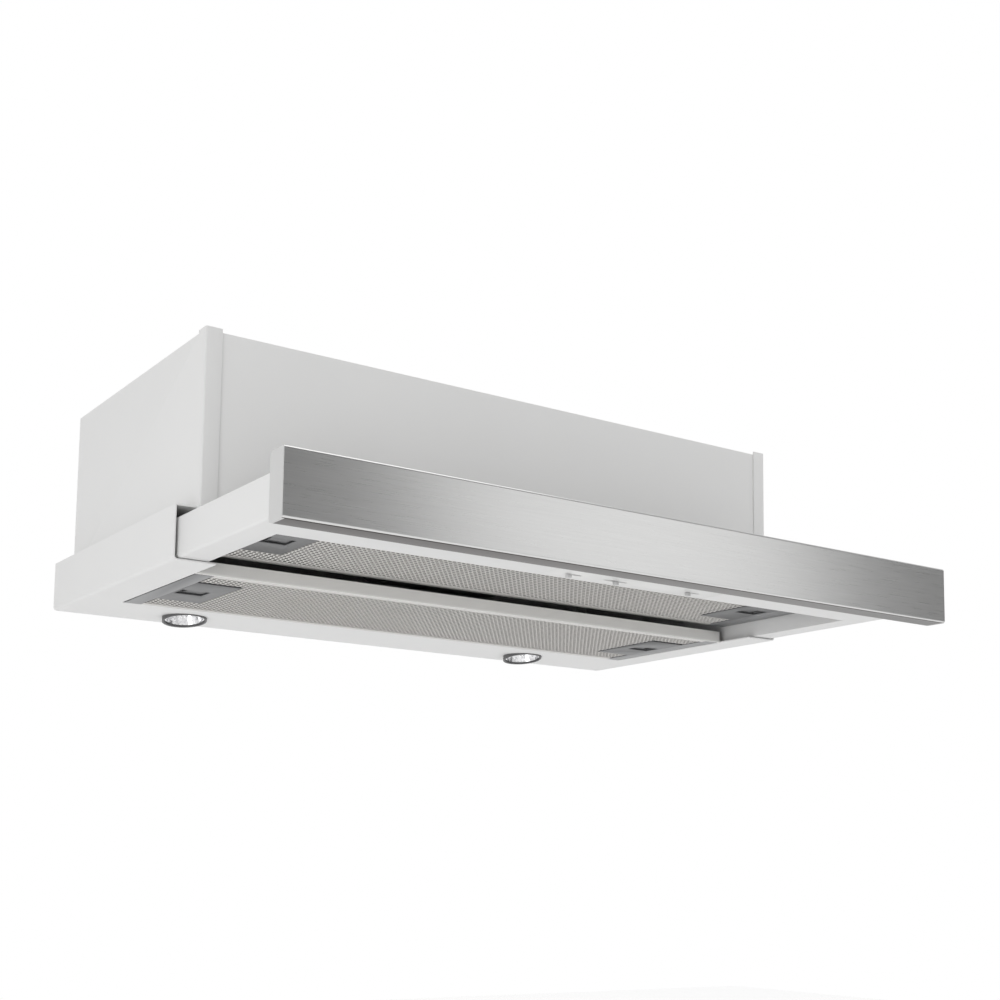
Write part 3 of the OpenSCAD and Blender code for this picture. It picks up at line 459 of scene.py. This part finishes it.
grip_grey = (0.105, 0.106, 0.109)
grip_outer_x = 0.243
frame_colour = (0.6, 0.59, 0.57)
frame_metallic = 0.5
frame_aluminium = rolled_aluminium("filter_frame_aluminium", frame_colour, 0.36, frame_metallic)
# Beyond the grip plates the photographed frame is as grey as the plates, so its ends are coloured so
beyond_grips = frame_aluminium.along("X").size() > grip_outer_x - 0.0002
frame_aluminium.shade(
    Base_Color=frame_aluminium.mix(beyond_grips, frame_colour, shade_of(grip_grey, 1.8)),
    Metallic=frame_metallic * (1 - beyond_grips),
)
strand_aluminium = rolled_aluminium("expanded_strands", (0.66, 0.645, 0.625), 0.36, 0.6)
# The bar is coloured near white, lighter than the white coat: painted light that makes up for the shade of
# the recess under the drawer.
bar_aluminium = rolled_aluminium("cross_bar_aluminium", (0.93, 0.925, 0.9), 0.42, 0.12)
# The inner layers are coloured far darker than the face sheet's aluminium: painted shade of the deeper
# layers; the knit noise adds their own lighter and darker strands.
shaded_inner_aluminium = Finish("inner_mesh_layers", Metallic=0.6)
knit = shaded_inner_aluminium.noise(1500, 2, (1, 0.35, 1))
dust = shaded_inner_aluminium.noise(45, 2)
shaded_inner_aluminium.shade(
    Base_Color=shaded_inner_aluminium.mix(knit, (0.15, 0.146, 0.14), (0.36, 0.35, 0.336)),
    Roughness=0.45 + 0.15 * dust,
    Normal=shaded_inner_aluminium.bump(knit, 0.0003, 0.8),
)
grip_plastic = moulded("grip_moulding", grip_grey, 0.42)

cell_x = 0.0041
cell_y = 0.0055
strand_w = 0.0013
strand_rise = 0.0006
sheet_gap = 0.0003
grip_gap = 0.0005
filter_depth = 0.146
grip_inner_x = 0.206
grip_half_l = 0.04
filter_lip = 0.006
face_height = 0.00045


def expanded_sheet(name, middle, underside_z, body, finish):
    """Face sheet of a filter: rows of slanted zigzag strands that meet at their corners"""
    half_x = grip_outer_x - sheet_gap
    half_y = filter_depth / 2 - filter_lip - sheet_gap
    columns = math.ceil(2 * half_x / cell_x)
    rows = math.ceil(2 * half_y / cell_y)
    sheet = started(name, "grid", x_subdivisions=2, y_subdivisions=1, size=1, location=(0, 0, 0))
    bpy.ops.object.mode_set(mode="EDIT")
    bpy.ops.transform.resize(value=(cell_x, strand_w, 1))
    pick(sheet, "VERT", lambda co: co.y < 0)
    bpy.ops.transform.translate(value=(0, 0, strand_rise))
    pick(sheet, "VERT", lambda co: abs(co.x) < cell_x / 4)
    bpy.ops.transform.translate(value=(0, cell_y / 2, 0))
    bpy.ops.mesh.select_all(action="SELECT")
    bpy.ops.mesh.duplicate()
    bpy.ops.transform.resize(value=(1, -1, 1))
    bpy.ops.mesh.flip_normals()
    bpy.ops.object.mode_set(mode="OBJECT")
    for count, step in ((columns, (cell_x, 0, 0)), (rows, (0, cell_y, 0))):
        array = sheet.modifiers.new("rows", "ARRAY")
        array.count = count
        array.use_relative_offset = False
        array.use_constant_offset = True
        array.constant_offset_displace = step
        bpy.ops.object.modifier_apply(modifier=array.name)
    sheet.location = (-columns * cell_x / 2, middle - rows * cell_y / 2, underside_z + face_height)
    bpy.ops.object.transform_apply(location=True)
    bpy.ops.object.mode_set(mode="EDIT")

    def outside(c):
        beyond = abs(c.x) > half_x or abs(c.y - middle) > half_y
        beside_grip = abs(c.y - middle) < grip_half_l + grip_gap
        return beyond or (abs(c.x) > grip_inner_x - grip_gap and beside_grip)

    pick(sheet, "FACE", outside)
    bpy.ops.mesh.delete(type="FACE")
    bpy.ops.object.mode_set(mode="OBJECT")
    return fit(sheet, finish, "filter_mesh", body)


def cassette(kind, body, latch_body, middle, underside_z):
    """Finishes one filter: frame, inner layers, face sheet, grip plates and latches"""
    node = kind + "_filter_"
    cassette_frame = eased(node + "frame", kind + "_cassette_frame", 0.00025)
    fit(cassette_frame, frame_aluminium, "filter_aluminium", body, node + "frame")
    paint(shaded_inner_aluminium, node + "mesh")
    expanded_sheet(kind + "_face_sheet", middle, underside_z, body, strand_aluminium)
    for side in ("left", "right"):
        grip = eased(node + "grip_" + side, kind + "_grip_plate_" + side, 0.00035)
        fit(grip, grip_plastic, "grip_plastic", body, node + "grip_" + side)
        latch = eased(node + "latch_" + side, kind + "_latch_slide_" + side, 0.0003)
        fit(latch, grip_plastic, "grip_plastic", latch_body + side, node + "latch_" + side)


fixed_filter_y = -0.0185
fixed_filter_z = -0.04
cassette("fixed", "housing", "fixed_latch_", fixed_filter_y, fixed_filter_z)
cross_bar = eased("filter_cross_bar", "cross_bar", 0.0002)
fit(cross_bar, bar_aluminium, "filter_aluminium", "housing", "filter_cross_bar")


# ---------- drawer ----------
# U-shaped tray of white sheet that rides on the rails and carries the second filter. Its front
# rim holds the controls, and its arms run back beside the filter into the canopy.

fit(eased("drawer_tray", "drawer_sheet", 0.0002), white_coat, "white_paint", "drawer", "drawer_tray")
drawer_filter_y = -0.1655
drawer_filter_z = -0.025
cassette("drawer", "drawer", "drawer_latch_", drawer_filter_y, drawer_filter_z)


# ---------- fascia ----------
# Brushed stainless steel front, folded back at the top and bottom and closed by two light grey
# end caps; the hand pulls the drawer out by its lower edge.


def brushed(name, colour, underside, underside_z, roughness):
    """Stainless steel ground along its length, with long fine scratches; below underside_z its colour turns
    dark, a painted reflection of dark surroundings on the underside
    """
    finish = Finish(name, Metallic=1)
    fine = finish.noise(2600, 4, (0.012, 1, 1))
    coarse = finish.noise(600, 2, (0.03, 1, 1))
    scratches = 0.7 * fine + 0.3 * coarse
    ground = finish.mix(scratches, shade_of(colour, 0.86), shade_of(colour, 1.12))
    # The underside's dark brown-grey colour is painted reflection of dark surroundings.
    painted_dark_reflection = finish.mix(coarse, shade_of(underside, 0.9), shade_of(underside, 1.1))
    finish.shade(
        Base_Color=finish.blend(finish.along("Z") < underside_z, ground, painted_dark_reflection),
        Roughness=roughness - 0.08 + 0.16 * fine,
        Normal=finish.bump(scratches, 0.00003, 0.4),
    )
    return finish


fascia_underside_z = -0.0473
steel = brushed("brushed_stainless", (0.61, 0.61, 0.605), (0.05, 0.044, 0.041), fascia_underside_z, 0.3)
cap_coat = powder_coat("end_cap_coat", (0.62, 0.62, 0.615), 0.4)
fit(eased("fascia_panel", "fascia_sheet", 0.0005, 3), steel, "brushed_steel", "drawer", "fascia_panel")
for side in ("left", "right"):
    node = "fascia_cap_" + side
    fit(eased(node, "end_cap_" + side, 0.0004), cap_coat, "cap_paint", "drawer", node)


# ---------- controls ----------
# White plastic strip let into the drawer's front rim, with three small slides: the lamp switch,
# the speed selector and the main switch.

control_strip = eased("control_plate", "control_strip", 0.0002)
fit(control_strip, white_plastic, "white_plastic", "drawer", "control_plate")
paint(black_plastic, "switch_box")
knob_plastic = moulded("knob_moulding", (0.6, 0.6, 0.6), 0.4)
for control in ("light", "speed", "power"):
    knob = eased(control + "_knob", control + "_slide", 0.00025)
    fit(knob, knob_plastic, "grip_plastic", control + "_slider", control + "_knob")


# ---------- screws ----------
# Zinc plated pan heads that hold the top panel, the spigot and the fascia.

paint(zinc, "top_screws", "fascia_screws")


# ---------- studio ----------
# A plain pale floor below the hood, a pale surround, and soft lamps at a plain level.
# The camera stands low in front of the hood's left corner and looks slightly up.

focal_length = 54.548
camera_place = (-0.68977, -1.12116, -0.26069)
camera_turn = math.radians(-34.375)
camera_tilt = math.radians(6.787)
camera_roll = math.radians(0.7075)
camera_shift = 0.2

camera = bpy.data.objects.new("camera", bpy.data.cameras.new("camera"))
bpy.context.scene.collection.objects.link(camera)
camera.data.lens = focal_length
camera.data.shift_y = camera_shift
camera.matrix_world = (
    Matrix.Translation(camera_place)
    @ Matrix.Rotation(camera_turn, 4, "Z")
    @ Matrix.Rotation(math.pi / 2 + camera_tilt, 4, "X")
    @ Matrix.Rotation(camera_roll, 4, "Z")
)
bpy.context.scene.camera = camera

world = bpy.data.worlds.new("surround")
bpy.context.scene.world = world
world.use_nodes = True


class Surround(Finish):
    """The world's own tree, wired like a finish"""

    def __init__(self, tree):
        self.tree = tree

    def show(self, share, plain, shown):
        """Ends the tree in one shader, or in the other for the given share of rays"""
        choice = self.node("ShaderNodeMixShader", {}, {0: share})
        self.tree.links.new(plain, choice.socket.node.inputs[1])
        self.tree.links.new(shown.socket, choice.socket.node.inputs[2])
        self.tree.links.new(choice.socket, self.tree.nodes["World Output"].inputs["Surface"])


def backdrop_rays(finish):
    """1 for the rays that meet the pale backdrop: the camera's, and those that metal or glass send on"""
    kinds = ("Camera", "Glossy", "Transmission")
    rays = [finish.node("ShaderNodeLightPath", {}, {}, "Is %s Ray" % kind) for kind in kinds]
    straight, glossy, through = rays
    return straight.maths("MAXIMUM", straight.maths("MAXIMUM", straight, glossy), through)


surround = Surround(world.node_tree)
background = world.node_tree.nodes["Background"]
background.inputs["Color"].default_value = (1, 1, 1, 1)
background.inputs["Strength"].default_value = 0.62
heading = surround.node("ShaderNodeTexCoord", {}, {}, "Generated")
depth = surround.node("ShaderNodeSeparateXYZ", {}, {0: heading}, "Y")
room_side = surround.node("ShaderNodeMapRange", {}, {0: depth, 1: -0.25, 2: 0.05, 3: 0.235, 4: 0.84}, 0)
camera_ray = surround.node("ShaderNodeLightPath", {}, {}, "Is Camera Ray")
level = room_side.maths("MAXIMUM", room_side, camera_ray)
backdrop = surround.node("ShaderNodeBackground", {}, {"Color": (1, 1, 1, 1), "Strength": level})
surround.show(backdrop_rays(surround), background.outputs[0], backdrop)


def soft_lamp(name, place, target, size, watts):
    lamp = bpy.data.objects.new(name, bpy.data.lights.new(name, "AREA"))
    bpy.context.scene.collection.objects.link(lamp)
    lamp.data.shape = "RECTANGLE"
    lamp.data.size = size[0]
    lamp.data.size_y = size[1]
    lamp.data.energy = watts
    lamp.location = place
    lamp.rotation_euler = (Vector(target) - Vector(place)).to_track_quat("-Z", "Y").to_euler()


soft_lamp("left_softbox", (-1.3, -0.55, -0.3), (-0.2, -0.2, 0.05), (0.9, 0.9), 4)
soft_lamp("front_softbox", (1.4, -2.2, 0.6), (0, -0.3, 0), (1.7, 1.6), 8.7)
soft_lamp("top_softbox", (0, 0.5, 2.4), (0, 0.5, 0), (3.0, 3.0), 34)

floor = started("floor", "plane", size=12, location=(0, 0, -0.9))
floor_finish = Finish("pale_floor", Roughness=0.8, Emission_Strength=1)
floor_finish.shade(
    Base_Color=floor_finish.mix(floor_finish.noise(3, 2), (0.86, 0.86, 0.86), (0.9, 0.9, 0.9)),
    Emission_Color=floor_finish.mix(backdrop_rays(floor_finish), (0, 0, 0), (0.4, 0.4, 0.4)),
)
floor.data.materials.append(floor_finish.material)

bpy.context.scene.view_settings.view_transform = "Standard"
